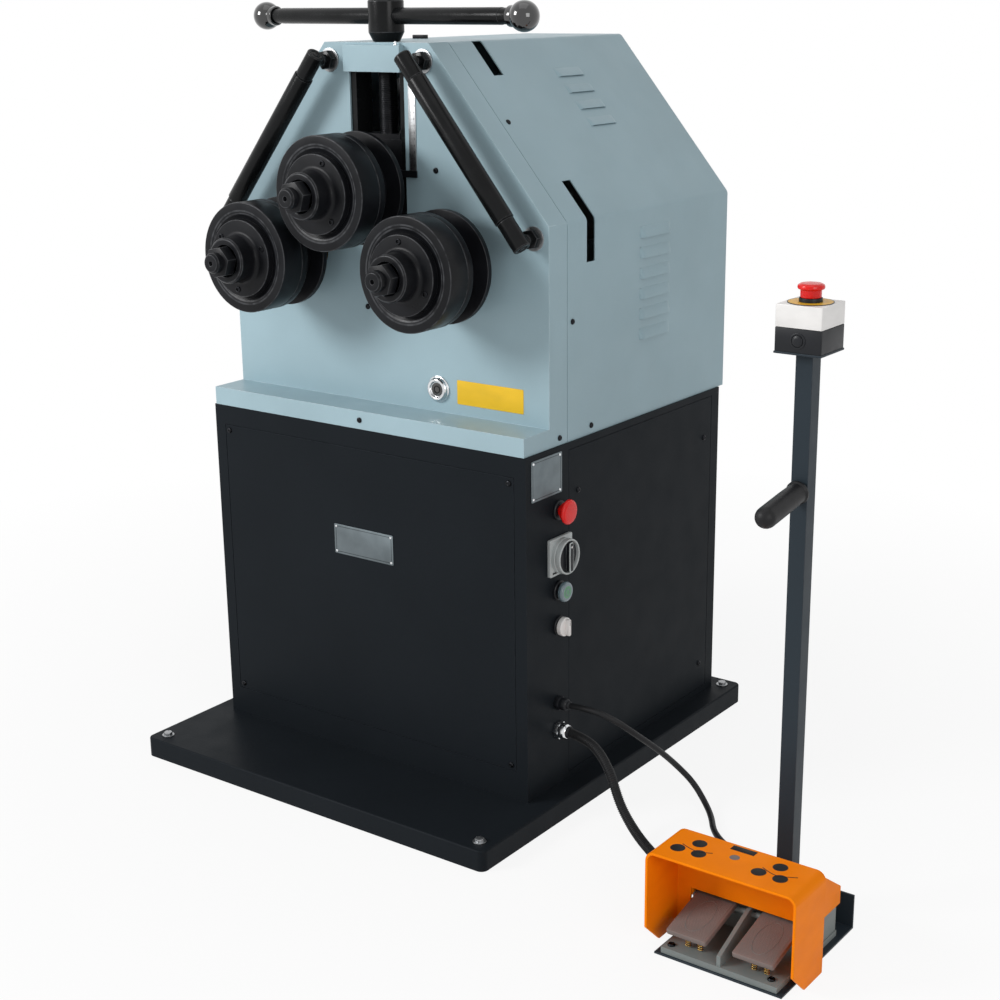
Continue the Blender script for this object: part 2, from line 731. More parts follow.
def set_on_points(name, body, finish, shape, places, replaces=(), turn=0.0, seed=1):
    """A piece of copies of a shape, at (place, direction) pairs in millimetres."""
    host = bpy.data.meshes.new(f"{name}_points")
    host.from_pydata([Vector(place) * MM for place, direction in places], [], [])
    towards = host.attributes.new("facing", "FLOAT_VECTOR", "POINT")
    directions = [value for place, direction in places for value in direction]
    towards.data.foreach_set("vector", directions)
    settings = {"Template": template_of(shape, name), "Largest turn": turn, "Seed": seed,
                "Finish": finish}
    data = run_tree(scatter_tree(), host, settings, name)
    return piece(data, name, body, [finish], replaces)


def in_a_row(name, body, finish, shape, count, step):
    """A piece of a shape repeated by a step in millimetres."""
    settings = {"Template": template_of(shape, name), "Count": count,
                "Step": Vector(step) * MM, "Finish": finish}
    data = run_tree(row_tree(), bpy.data.meshes.new(f"{name}_line"), settings, name)
    return piece(data, name, body, [finish])


def wound(name, at, turns, radius, height, wire, sides, finish):
    """A coil in millimetres, standing on at along its Z axis."""
    settings = {"Turns": turns, "Radius": radius * MM, "Height": height * MM, "Wire": wire * MM,
                "Sides": sides, "Finish": finish}
    data = run_tree(coil_tree(), bpy.data.meshes.new(f"{name}_start"), settings, name)
    data.transform(at)
    return data


def joined(name, body, parts, replaces=()):
    """A piece of several (mesh, finish) pairs, whose faces keep their finish."""
    mesh = bmesh.new()
    used = []
    for data, finish in parts:
        start = len(mesh.faces)
        mesh.from_mesh(data)
        mesh.faces.ensure_lookup_table()
        if finish not in used:
            used.append(finish)
        for face in mesh.faces[start:]:
            face.material_index = used.index(finish)
    result = bpy.data.meshes.new(name)
    mesh.to_mesh(result)
    mesh.free()
    return piece(result, name, body, used, replaces)


def printed_line(name, body, finish, route, depth, rounding=4, cyclic=False):
    """A piece of a raised line of a depth on a route, both in metres."""
    line = nurbs_line(name, route, cyclic=cyclic)
    line.bevel_depth = depth
    line.bevel_resolution = rounding
    return piece(taken(linked(name, line), name), name, body, [finish])


def nurbs_line(name, route, resolution=12, cyclic=False):
    """A smooth line on a route in metres."""
    curve = bpy.data.curves.new(name, "CURVE")
    curve.dimensions = "3D"
    curve.resolution_u = resolution
    spline = curve.splines.new("NURBS")
    spline.points.add(len(route) - 1)
    for point, place in zip(spline.points, route):
        point.co = (*place, 1.0)
    spline.order_u = 3
    spline.use_endpoint_u = not cyclic
    spline.use_cyclic_u = cyclic
    return curve


# ---------------------------------------------------------------- operators

class BuildStep(bpy.types.Operator):
    """One step of the ring roller's build."""
    bl_idname = "ring_roller.step"
    bl_label = "Build step"
    bl_options = {"REGISTER", "UNDO"}

    def execute(self, context):
        self.build()
        return {"FINISHED"}


# ---------------------------------------------------------------- pieces: stand

class BuildStand(BuildStep):
    """Base plate, levelling bolts, cabinet, front panel and side door"""
    bl_idname = "ring_roller.stand"
    bl_label = "Stand"

    def build(self):
        edges = sizes()
        for node, edge in (("base_plate", 0.0), ("cabinet", edges.sheet_edge),
                           ("front_panel", 0.0004), ("side_door", 0.0004)):
            dressed(node, f"{node}_painted", "stand", edge)
        bolt = Shape()
        bolt.turned(rectangle(0, 10.5, 0, 1.4), Matrix(), edge=0.3, segments=24)
        bolt.prism(hexagon(7.5), 1.4, 6.0, edge=0.5)
        places = []
        for low, high in islands("anchor_bolts"):
            places.append((((low.x + high.x) / 2, (low.y + high.y) / 2, high.z - 6.0), UP))
        set_on_points("levelling_bolts", "machine", "zinc", bolt, places,
                      ["anchor_bolts"], turn=1.0, seed=4)


# ---------------------------------------------------------------- pieces: housing

def housing_line():
    """Corners of the housing's outline from the right foot round to the left foot, as (x, z)."""
    return [(HOUSING_SIDE, DECK_Z), (HOUSING_SIDE, KNEE_Z), (ROOF_HALF, ROOF_Z),
            (-ROOF_HALF, ROOF_Z), (-HOUSING_SIDE, KNEE_Z), (-HOUSING_SIDE, DECK_Z)]


def slope_frame(side, distance=0.0, y=0.0):
    """A place on a slope, measured up from the knee: X along Y, Y up the slope, Z outwards."""
    tangent = Vector((-side * (HOUSING_SIDE - ROOF_HALF), 0, ROOF_Z - KNEE_Z)).normalized()
    at = Vector((side * HOUSING_SIDE, y, KNEE_Z)) + tangent * distance
    return shifted(*at) @ axes((0, side, 0), tangent)


def wall_frame(side, height, y=0.0):
    """A place on a side wall: X along Y, Y up, Z outwards."""
    return shifted(side * HOUSING_SIDE, y, height) @ axes((0, side, 0), UP)


LOUVRE_RISE, LOUVRE_END, LOUVRE_SHEET = 18.0, 9.0, 1.2
WALL_LOUVRES = {"first": 732.0, "start": 95.0, "length": 92.0, "count": 6, "proud": 5.6}
SLOPE_LOUVRES = {"first": 162.0, "start": 110.0, "length": 76.0, "count": 4, "proud": 3.0}
ROOF_SLOT_REACH, ROOF_SLOT_START, ROOF_SLOT_WIDTH = 68.0, -54.6, 25.6
# The hand slot in the shoulder: its outline as (outwards, upwards) from the knee, and its ends in Y
SHOULDER_SLOT = [(-8, -66), (8, -66), (8, 4), (-34, 66), (-58, 45), (-8, -6)]
SHOULDER_SLOT_ENDS = (36.7, 59.9)


def louvre_shape(at, span, proud, side):
    """A pressed louvre: a shell that rises from the sheet to a lip over its slot."""
    across, up = 28, 10
    shape = Shape()
    grid = []
    for row in range(up + 1):
        climb = row / up
        line = []
        for column in range(across + 1):
            share = column / across
            end = min(share, 1 - share) * span / LOUVRE_END
            swell = 1.0 if end >= 1 else math.sin(end * math.pi / 2) ** 0.8
            fall = math.cos(climb * math.pi / 2) ** 0.9
            line.append((share * span * side, climb * LOUVRE_RISE, proud * swell * fall))
        grid.append(line)
    outer = [[shape.mesh.verts.new(at @ (Vector(p) * MM)) for p in line] for line in grid]
    inner = [[shape.mesh.verts.new(at @ (Vector((x, y, z - LOUVRE_SHEET)) * MM))
              for x, y, z in line] for line in grid]
    faces = []
    for row in range(up):
        for column in range(across):
            for layer in (outer, inner):
                faces.append(shape.mesh.faces.new((layer[row][column], layer[row][column + 1],
                                                   layer[row + 1][column + 1],
                                                   layer[row + 1][column])))
    rim = ([(0, c) for c in range(across)] + [(r, across) for r in range(up)]
           + [(up, c) for c in range(across, 0, -1)] + [(r, 0) for r in range(up, 0, -1)])
    for (row, column), (next_row, next_column) in zip(rim, rim[1:] + rim[:1]):
        faces.append(shape.mesh.faces.new((outer[row][column], outer[next_row][next_column],
                                           inner[next_row][next_column], inner[row][column])))
    shape.finish_faces(faces, 0)
    return shape


def cover_cutters():
    """The hand slots and louvre mouths as one shape that is taken out of the cover."""
    shape = Shape()
    slope_length = math.hypot(HOUSING_SIDE - ROOF_HALF, ROOF_Z - KNEE_Z)
    pitch = sizes().louvre_pitch / MM
    for side in (1, -1):
        for rows, frame_at in ((WALL_LOUVRES, wall_frame), (SLOPE_LOUVRES, slope_frame)):
            for number in range(rows["count"]):
                at = frame_at(side, rows["first"] + number * pitch, rows["start"])
                ends = sorted((side * 3.0, side * (rows["length"] - 3.0)))
                shape.block((ends[0], 0.4, -6.0), (ends[1], 7.0, 4.0), at=at)
        at = slope_frame(side, slope_length - ROOF_SLOT_REACH, ROOF_SLOT_START)
        ends = sorted((0.0, side * ROOF_SLOT_WIDTH))
        shape.block((ends[0], 0.0, -6.0), (ends[1], ROOF_SLOT_REACH + 0.5, 4.0), at=at)
        outline = [(side * (HOUSING_SIDE + x), KNEE_Z + z) for x, z in SHOULDER_SLOT]
        shape.prism(outline, *SHOULDER_SLOT_ENDS, at=UPRIGHT)
    return shape


def main_cover_mesh():
    """The folded cover: outline with rounded bends, a back wall, then its slots cut out."""
    bends = softened(housing_line(), 5.0, steps=4)
    shape = Shape()
    rows = []
    for y in (COVER_FRONT, COVER_BACK):
        rows.append([shape.mesh.verts.new(Vector((bend[0], y, bend[1])) * MM) for bend in bends])
    for front, back in zip(zip(rows[0], rows[0][1:]), zip(rows[1], rows[1][1:])):
        shape.mesh.faces.new((front[0], front[1], back[1], back[0]))
    shape.mesh.faces.new(list(reversed(rows[1])))
    bmesh.ops.recalc_face_normals(shape.mesh, faces=shape.mesh.faces)
    roof = next(f for f in shape.mesh.faces if abs(f.calc_center_median().z - ROOF_Z * MM) < 1e-4)
    if roof.normal.z < 0:
        bmesh.ops.reverse_faces(shape.mesh, faces=shape.mesh.faces)
    host = linked("cover_host", shape.mesh_data("cover_host"))
    wall = host.modifiers.new("Sheet", "SOLIDIFY")
    wall.thickness = sizes().sheet
    wall.offset = -1.0
    cutter = linked("cover_cutter", cover_cutters().mesh_data("cover_cutter"))
    slots = host.modifiers.new("Slots", "BOOLEAN")
    slots.operation = "DIFFERENCE"
    slots.solver = "EXACT"
    slots.use_self = True
    slots.object = cutter
    data = taken(host, "main_cover_folded")
    bpy.data.objects.remove(cutter)
    data.set_sharp_from_angle(angle=math.radians(25))
    return data


class BuildHousing(BuildStep):
    """Front section, folded main cover, bridge block and roof block"""
    bl_idname = "ring_roller.housing"
    bl_label = "Housing"

    def build(self):
        edges = sizes()
        paint = "housing"
        dressed("front_section", "front_section_painted", paint, edges.plate_edge)
        dressed("slot_bridge", "slot_bridge_painted", paint, 0.0014)
        piece(main_cover_mesh(), "main_cover_folded", "machine", [paint],
              ["main_cover"])
        block = Shape().block((-80, 28, ROOF_Z), (-56, 40, ROOF_Z + 6), edge=0.8)
        block.piece("roof_block", "machine", ["black_plastic"], "black_plastic")
        nipple = [(0, 0), (3.4, 0), (3.4, 1.6), (2.2, 2.4), (2.4, 4.4), (1.4, 6.0), (0, 6.0)]
        oiler = Shape().turned(nipple, facing((46, FACE_Y - 7, ROOF_Z - 4), UP), 0.3, 24)
        oiler.piece("bridge_oiler", "machine", ["bright"], "zinc_steel")


class BuildLouvres(BuildStep):
    """Pressed louvres on both walls and both slopes of the cover"""
    bl_idname = "ring_roller.louvres"
    bl_label = "Louvres"

    def build(self):
        pitch = sizes().louvre_pitch / MM
        for label, side in (("right", 1), ("left", -1)):
            for kind, rows, frame_at in (("wall", WALL_LOUVRES, wall_frame),
                                         ("slope", SLOPE_LOUVRES, slope_frame)):
                at = frame_at(side, rows["first"], rows["start"])
                step = at.to_3x3() @ Vector((0, pitch, 0))
                shape = louvre_shape(at, rows["length"], rows["proud"], side)
                made = in_a_row(f"{kind}_louvres_{label}", "machine", "housing",
                                shape, rows["count"], step)
                made.data.set_sharp_from_angle(angle=math.radians(50))


# ---------------------------------------------------------------- pieces: rollers

def roller_axis(name):
    """Centre of a roller's axis as (x, z) in millimetres, from its own solid."""
    low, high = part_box(f"roller_{name}")
    return (low.x + high.x) / 2 / MM, (low.z + high.z) / 2 / MM


REAR_DISC = rectangle(25.2, 87.5, 44, 53.3)
GROOVE_RING = rectangle(25.2, 60, 53.3, 89.3)
RING_DISC = rectangle(25.2, 87.5, 89.3, 102)
FRONT_DISC = [(25.2, 102), (87.5, 102), (87.5, 143.3), (74, 143.3), (69.5, 142.6), (65.5, 140.5),
              (62, 139.3), (25.2, 139.3)]
HUB = [(25.2, 139.3), (61, 139.3), (61, 151.9), (42.5, 151.9), (39.6, 152.7), (37.4, 154.9),
       (36.2, 158.4), (36.2, 182.6), (33.8, 185.2), (25.2, 185.2)]
SHAFT_TIP = [(22, 185.2), (16, 185.2), (16, 213.6), (13, 216.9), (4, 216.9), (2.4, 211.9),
             (0, 210.4)]
HUB_SCREWS = {"top": 69.0, "left": 21.0, "right": 93.0}     # degrees of each hub's first screw
HUB_SCREW_CIRCLE, HUB_SCREW_SEAT = 50.5, 152.2


class BuildRollers(BuildStep):
    """Three rollers with their clamping hubs, nuts and shafts"""
    bl_idname = "ring_roller.rollers"
    bl_label = "Rollers"

    def build(self):
        for name, body in BODIES.items():
            x, z = roller_axis(name)
            at = facing((x, FACE_Y, z), FRONT)
            discs = Shape()
            for section, edge in ((REAR_DISC, 1.0), (GROOVE_RING, 0.2), (RING_DISC, 1.2),
                                  (FRONT_DISC, 1.8)):
                discs.turned(section, at, edge, 128, closed=True)
            discs.piece(f"discs_{name}", body, ["black"], "blackened_steel", [f"roller_{name}"],
                        smooth=40)
            clamp = Shape()
            clamp.turned(HUB, at, 1.6, 112, closed=True)
            clamp.prism(hexagon(25.4, 12), 185.2, 203.4, edge=1.1, at=at)
            clamp.piece(f"hub_{name}", body, ["black"], "blackened_steel", [f"clamp_{name}"],
                        smooth=40)
            shaft = Shape()
            shaft.turned(SHAFT_TIP, at, 0.8, 48)
            shaft.turned([(0, -1.4), (32, -1.4), (32, 7), (40, 7), (40, 44), (0, 44)], at, 0.8, 72)
            shaft.piece(f"shaft_nose_{name}", body, ["black"], "blackened_steel", [f"shaft_{name}"])


class BuildHubScrews(BuildStep):
    """Socket screws in the hub flanges"""
    bl_idname = "ring_roller.hub_screws"
    bl_label = "Hub screws"

    def build(self):
        for name, body in BODIES.items():
            x, z = roller_axis(name)
            turns = [math.radians(HUB_SCREWS[name] + apart) for apart in (0, -120, 120)]
            places = [((x + HUB_SCREW_CIRCLE * math.cos(turn), FACE_Y - HUB_SCREW_SEAT,
                        z + HUB_SCREW_CIRCLE * math.sin(turn)), FRONT) for turn in turns]
            head = [(0, -2), (4.9, -2), (4.9, 0.9), (4.2, 1.6), (2.7, 1.6), (2.5, -1.2), (0, -1.2)]
            screw = Shape().turned(head, Matrix(), 0.35, 24)
            set_on_points(f"hub_screws_{name}", body, "screw_black", screw,
                          places)


# ---------------------------------------------------------------- pieces: slide and handle

class BuildSlide(BuildStep):
    """Top slide with its pointer, and the guide strips in its slot"""
    bl_idname = "ring_roller.slide"
    bl_label = "Top slide"

    def build(self):
        dressed("top_slide", "top_slide_dressed", "black", 0.0006)
        dressed("slide_guides", "slide_guides_dressed", "bar_black", 0.0005)


class BuildSpindle(BuildStep):
    """Screw spindle with its cut thread"""
    bl_idname = "ring_roller.spindle"
    bl_label = "Spindle"

    def build(self):
        low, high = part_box("spindle")
        base, top = low.z / MM, high.z / MM
        core = Shape()
        core.turned([(0, 0), (12, 0), (12, 21), (22, 21), (22, 30.4), (13.7, 30.4),
                     (13.7, top - base), (0, top - base)],
                    facing((0, SPINDLE_Y, base), UP), 0.5, 48)
        thread = wound("thread", facing((0, SPINDLE_Y, 1067), UP), 44.0, 13.7, 132.0, 1.0, 4,
                       "screw_black")
        joined("screw_spindle", "handle",
               [(core.mesh_data("core"), "black"), (thread, "screw_black")], ["spindle"])


HANDLE_ANGLE = -8.2
HANDLE_Z = 1243.3
HANDLE_HALF = 296.3


class BuildHandle(BuildStep):
    """Cross handle: hub, bar and two ball ends"""
    bl_idname = "ring_roller.handle"
    bl_label = "Cross handle"

    def build(self):
        hub = Shape()
        start = ROOF_Z + 0.5
        hub.turned([(15.1, 0), (21, 0), (23.4, 5), (28, 14), (28, 60.6), (26, 63), (8, 63),
                    (7, 61.8), (0, 61.8), (0, 24.1), (15.1, 24.1)],
                   facing((0, SPINDLE_Y, start), UP), 0.9, 96)
        turn = math.radians(HANDLE_ANGLE)
        across = Vector((math.cos(turn), math.sin(turn), 0))
        centre = Vector((0, SPINDLE_Y, HANDLE_Z))
        half = HANDLE_HALF - 14.0
        for side in (-1, 1):
            hub.turned([(0, 0), (12.5, 0), (12.5, half - 30), (11.8, half - 29.4), (11.8, half - 8),
                        (12.5, half - 7.4), (12.5, half), (0, half)],
                       facing(centre, across * side), 0.4, 48)
        hub.piece("cross_bar", "handle", ["bar_black"], "blackened_steel", ["handle_bar"])
        balls = Shape()
        radius, neck = 22.5, 12.9
        first = math.asin(neck / radius)
        for side in (-1, 1):
            at = facing(centre + across * side * HANDLE_HALF, across * side)
            angles = [first + (math.pi - first) * step / 28 for step in range(1, 28)]
            ball = [(radius * math.sin(angle), -radius * math.cos(angle)) for angle in angles]
            balls.turned([(neck, -radius * math.cos(first)), *ball, (0, radius)], at, 0.0, 64)
            balls.turned([(14.6, -27.0), (15.6, -25.8), (15.4, -16), (12.7, -16), (12.7, -27)], at,
                         0.4, 48, closed=True)
        balls.piece("ball_ends", "handle", ["ball"], "black_knob", ["handle_balls"], smooth=60)


# ---------------------------------------------------------------- pieces: front fittings

BAR_TOP = (94.0, 1177.4)
BAR_LOW = (298.1, 923.9)
BAR_Y = FACE_Y - 41.0


class BuildGuideBars(BuildStep):
    """Tubular guide bars with their end sleeves, studs, nuts and washers"""
    bl_idname = "ring_roller.guide_bars"
    bl_label = "Guide bars"

    def build(self):
        span = math.dist(BAR_TOP, BAR_LOW)
        end = [(0, 13), (4, 13), (5, 11.6), (8, 11.6), (9, 13), (12.6, 13), (13.8, 11.5)]
        stations = [(radius, -height) for radius, height in end]
        stations += [(13.8, 29), (13.2, 30), (13.2, 31.5), (15.5, 31.5), (15.5, span - 37.9),
                     (13.2, span - 37.9), (13.2, span - 36.4), (13.8, span - 35.4)]
        stations += [(radius, span + height) for radius, height in reversed(end)]
        studs = Shape()
        washers = Shape()
        for name, side in (("left", -1), ("right", 1)):
            down = Vector((side * (BAR_LOW[0] - BAR_TOP[0]), 0, BAR_LOW[1] - BAR_TOP[1]))
            bar = Shape()
            at = facing((side * BAR_TOP[0], BAR_Y, BAR_TOP[1]), down.normalized())
            bar.turned(stations, at, 0.6, 64)
            bar.piece(f"guide_bar_{name}_turned", "machine", ["bar_black"], "blackened_steel",
                      [f"guide_bar_{name}"])
            for x, z in (BAR_TOP, BAR_LOW):
                at = facing((side * x, FACE_Y, z), FRONT)
                studs.prism(hexagon(15.6, 10), 2.2, 14, edge=0.9, at=at)
                studs.turned([(0, 13), (9, 13), (9, 22), (8, 23.5), (8, 40), (0, 40)], at, 0.5, 40)
                washers.turned(rectangle(8, 18.6, 0, 2.2), at, 0.4, 56, closed=True)
        studs.piece("bar_studs", "machine", ["bar_black"], "blackened_steel", ["guide_bar_studs"])
        washers.piece("bar_washers", "machine", ["zinc"], "zinc_steel")


RULE_X, RULE_WIDTH, RULE_LOW, RULE_LENGTH = 63.5, 14.0, 1007.0, 149.5
RULE_THICK, RULE_ZERO, RULE_RANGE = 1.3, 4.0, 140


class BuildRule(BuildStep):
    """Steel rule beside the slot, with its divisions and numbers"""
    bl_idname = "ring_roller.rule"
    bl_label = "Steel rule"

    def build(self):
        rule = Shape()
        rule.block((RULE_X, FACE_Y - RULE_THICK, RULE_LOW),
                   (RULE_X + RULE_WIDTH, FACE_Y, RULE_LOW + RULE_LENGTH), edge=0.25)
        rule.piece("scale_rule", "machine", ["rule"], "bare_steel", ["steel_rule"])
        front, zero = FACE_Y - RULE_THICK, RULE_LOW + RULE_ZERO
        for name, every, reach in (("short", 1, 3.6), ("middle", 5, 5.4), ("long", 10, 7.6)):
            mark = Shape()
            mark.block((RULE_X + 0.6, front - 0.12, zero - 0.1),
                       (RULE_X + 0.6 + reach, front + 0.05, zero + 0.15))
            in_a_row(f"rule_marks_{name}", "machine", "ink", mark,
                     RULE_RANGE // every + 1, (0, 0, every))
        meshes = []
        for number in range(RULE_RANGE // 10 + 1):
            words = bpy.data.curves.new("rule_number", "FONT")
            words.body = str(number)
            words.size = 0.0044
            words.extrude = 0.00006
            words.align_x = "CENTER"
            words.align_y = "CENTER"
            words.resolution_u = 2
            data = taken(linked("rule_number", words), "rule_number")
            at = shifted(RULE_X + 10.8, front - 0.06, zero + number * 10)
            data.transform(at @ UPRIGHT)
            meshes.append((data, "ink"))
        joined("rule_numbers", "machine", meshes)


class BuildFittings(BuildStep):
    """Sight glass and the three bare plates with their rivets"""
    bl_idname = "ring_roller.fittings"
    bl_label = "Sight glass and plates"

    def build(self):
        at = facing((110.8, FACE_Y, DECK_Z + 67.6), FRONT)
        sight = Shape()
        sight.turned([(11, 0), (21.5, 0), (21.5, 1.6), (19, 2.2), (19, 5.6), (16.6, 8), (13.2, 8),
                      (12, 5), (11, 5)], at, 0.7, 72, closed=True)
        sight.turned([(0, 0), (12, 0), (12, 4.2), (7, 5.0), (0, 5.2)], at, 0.2, 48, finish=1)
        sight.turned(rectangle(4.5, 6.5, 4.6, 5.4), at, 0.1, 40, closed=True, finish=2)
        sight.piece("oil_sight_glazed", "machine", ["bright", "glass", "ink"], "sight_glass",
                    ["oil_sight"])
        plates = Shape()
        self.plate(plates, shifted(0, CABINET_FRONT, 409.5) @ UPRIGHT, 126, 51, 1.0, 0)
        self.plate(plates, facing_right(CABINET_SIDE, -174.4, 563), 82, 65, 1.0, 0)
        self.plate(plates, shifted(212.5, FACE_Y, 671.5) @ UPRIGHT, 129, 39, 0.5, 1)
        plates.piece("bare_plates", "machine", ["plate", "notice", "ink"], "zinc_steel",
                     ["label_plates"])
        places = [((x, CABINET_FRONT - 0.9, z), FRONT) for x in (-58.5, 58.5) for z in (388, 431)]
        places += [((CABINET_SIDE + 0.9, y, z), RIGHT) for y in (-210, -139) for z in (535, 591)]
        rivet = Shape().turned([(0, 0), (2.3, 0), (1.9, 0.8), (0, 1.1)], Matrix(), 0.1, 20)
        set_on_points("plate_rivets", "machine", "bright", rivet, places)

    def plate(self, shape, at, width, height, thick, finish):
        """A bare plate with rounded corners and a printed border line."""
        outline = rectangle(-width / 2, width / 2, -height / 2, height / 2)
        shape.prism(outline, 0, thick, edge=0.12, at=at, finish=finish, corner=2.2)
        if finish:
            return
        border, line = 3.4, 0.7
        inner_x, inner_y = width / 2 - border, height / 2 - border
        for low, high in (((-inner_x, -inner_y), (inner_x, line - inner_y)),
                          ((-inner_x, inner_y - line), (inner_x, inner_y)),
                          ((-inner_x, line - inner_y), (line - inner_x, inner_y - line)),
                          ((inner_x - line, line - inner_y), (inner_x, inner_y - line))):
            shape.block((*low, thick - 0.02), (*high, thick + 0.06), at=at, finish=2)


class BuildCoverScrews(BuildStep):
    """Domed socket screws on the covers"""
    bl_idname = "ring_roller.cover_screws"
    bl_label = "Cover screws"

    def build(self):
        places = []
        for low, high in islands("cover_screws"):
            centre, size = (low + high) / 2, high - low
            thin = min(range(3), key=lambda axis: size[axis])
            if size[thin] > 3.5:
                side = 1 if centre.x > 0 else -1
                outward = slope_frame(side).to_3x3() @ Vector((0, 0, 1))
            else:
                outward = Vector((0, 0, 0))
                outward[thin] = -1 if thin == 1 else math.copysign(1, centre.x)
            places.append((centre - outward * 1.5, outward))
        radius = sizes().screw_head / 2 / MM
        head = [(0, 0), (radius, 0), (radius, 0.9), (radius * 0.86, 2.2), (radius * 0.5, 2.95),
                (radius * 0.46, 2.0), (0, 2.0)]
        screw = Shape().turned(head, Matrix(), 0.3, 24)
        set_on_points("socket_screws", "machine", "screw_black", screw, places,
                      ["cover_screws"], turn=2.0, seed=7)


# ---------------------------------------------------------------- pieces: switches

STOP_Z, ISOLATOR_Z, START_Z, SELECTOR_Z = 502.5, 429.5, 370.0, 311.0
MUSHROOM = [(0, 0), (8, 0), (8, 10.4), (13.9, 10.4), (13.9, 16.6), (19.2, 17.2), (20, 19.4),
            (19.4, 22.4), (16, 24.5), (0, 25)]
BOX_MUSHROOM = [(0, 0), (8, 0), (8, 6.4), (13.9, 6.4), (13.9, 16.9), (17.2, 17.5), (18, 19.6),
                (17.4, 22.6), (14, 24.7), (0, 25.3)]
BOX_TOP = 887.3


class BuildSwitches(BuildStep):
    """Stop, start and selector units on the cabinet's side, and the rings under all buttons"""
    bl_idname = "ring_roller.switches"
    bl_label = "Switches"

    def build(self):
        bezels = Shape()
        for z, across in ((STOP_Z, 32), (START_Z, 33), (SELECTOR_Z, 32)):
            at = facing((CABINET_SIDE, SWITCH_Y, z), RIGHT)
            bezels.turned([(8.2, 0), (across / 2, 0), (across / 2, 3.6), (across / 2 - 1.4, 5),
                           (8.2, 5)], at, 0.5, 64, closed=True)
        ring_at = facing((CONSOLE_X, POST_Y, BOX_TOP), UP)
        bezels.turned(rectangle(8.2, 29.4, 0, 0.9), ring_at, 0.2, 96, closed=True, finish=1)
        bezels.turned(rectangle(29.4, 30.5, 0, 1.0), ring_at, 0.2, 96, closed=True)
        bezels.turned([(14.3, 0.8), (15.6, 0.8), (15.3, 6.1), (14.3, 6.1)], ring_at, 0.3, 64,
                      closed=True)
        bezels.piece("unit_bezels", "machine", ["black_plastic", "yellow"], "black_plastic",
                     ["switch_bezels"])
        stop = Shape().turned(MUSHROOM, facing((CABINET_SIDE, SWITCH_Y, STOP_Z), RIGHT), 1.2, 72)
        stop.piece("stop_mushroom", "stop_press", ["stop"], "stop_plastic", ["stop_button"])
        start = Shape()
        at = facing((CABINET_SIDE, SWITCH_Y, START_Z), RIGHT)
        start.turned([(8, 2), (8, 9), (15.2, 9), (16.4, 11), (16.4, 15), (14.6, 17.6), (11, 18),
                      (8, 17)], at, 0.8, 64, closed=True)
        start.turned([(0, 9), (11.6, 9), (11.6, 17.4), (9.5, 17.9), (0, 18)], at, 0.5, 48, finish=1)
        start.turned(rectangle(4.6, 6.0, 17.4, 18.3), at, 0.2, 40, closed=True)
        start.piece("start_booted", "start_press", ["boot", "start"], "start_plastic",
                    ["start_button"])
        selector = Shape()
        at = facing_right(CABINET_SIDE, SWITCH_Y, SELECTOR_Z)
        selector.turned([(0, 1), (8, 1), (8, 6.5), (14.9, 6.5), (15.3, 8), (15.3, 14), (14.2, 15),
                         (0, 15)], at, 0.6, 64)
        selector.prism(rectangle(-3.4, 3.4, -13.6, 13.6), 14.6, 22.4, edge=0.8, at=at, corner=2.6)
        selector.block((-0.5, 4, 22.3), (0.5, 12.4, 22.55), at=at, finish=1)
        selector.piece("selector_turned", "selector", ["white", "ink"], "white_plastic",
                       ["selector_knob"])


class BuildIsolator(BuildStep):
    """Main isolator: square plate with a round collar, and its dished rotary knob"""
    bl_idname = "ring_roller.isolator"
    bl_label = "Isolator"

    def build(self):
        at = facing_right(CABINET_SIDE, SWITCH_Y, ISOLATOR_Z)
        plate = Shape()
        plate.prism(rectangle(-30.5, 30.5, -30.5, 30.5), 0, 6, edge=0.9, at=at, corner=3.0)
        collar = [(12, 5.5), (29, 5.5), (29, 12.2), (28.2, 13), (12, 13)]
        plate.turned(collar, at, 0.5, 80, closed=True)
        for start, end in ((-24, -13), (-11, -1)):
            plate.block((start, -26.5, 5.9), (end, -23.5, 6.2), at=at, finish=1)
        plate.piece("isolator_plate", "machine", ["grey", "ink"], "white_plastic",
                    ["isolator_base"])
        knob = Shape()
        knob.turned([(8, 2), (8, 13.4), (28.5, 13.4), (28.5, 21.2), (27.6, 22.2), (26.2, 22.2),
                     (25.4, 21.2), (25.2, 16), (8, 16)], at, 0.5, 96, closed=True)
        knob.turned([(0, 15), (25.1, 15), (25.1, 17), (22, 18.2), (0, 18.4)], at, 0.4, 64, finish=1)
        handle = [(-5, -24), (5, -24), (5.6, 0), (5, 24), (-5, 24), (-5.6, 0)]
        knob.prism(handle, 17.5, 26.0, edge=1.4, at=at, finish=1, corner=3.0)
        knob.turned([(0, 25.6), (1.8, 25.6), (1.8, 26.15), (0, 26.25)],
                    facing_right(CABINET_SIDE, SWITCH_Y, 446), 0.1, 16, finish=2)
        knob.piece("isolator_knob_dished", "isolator", ["grey", "black_plastic", "white"],
                   "black_plastic", ["isolator_knob"])


# ---------------------------------------------------------------- pieces: console

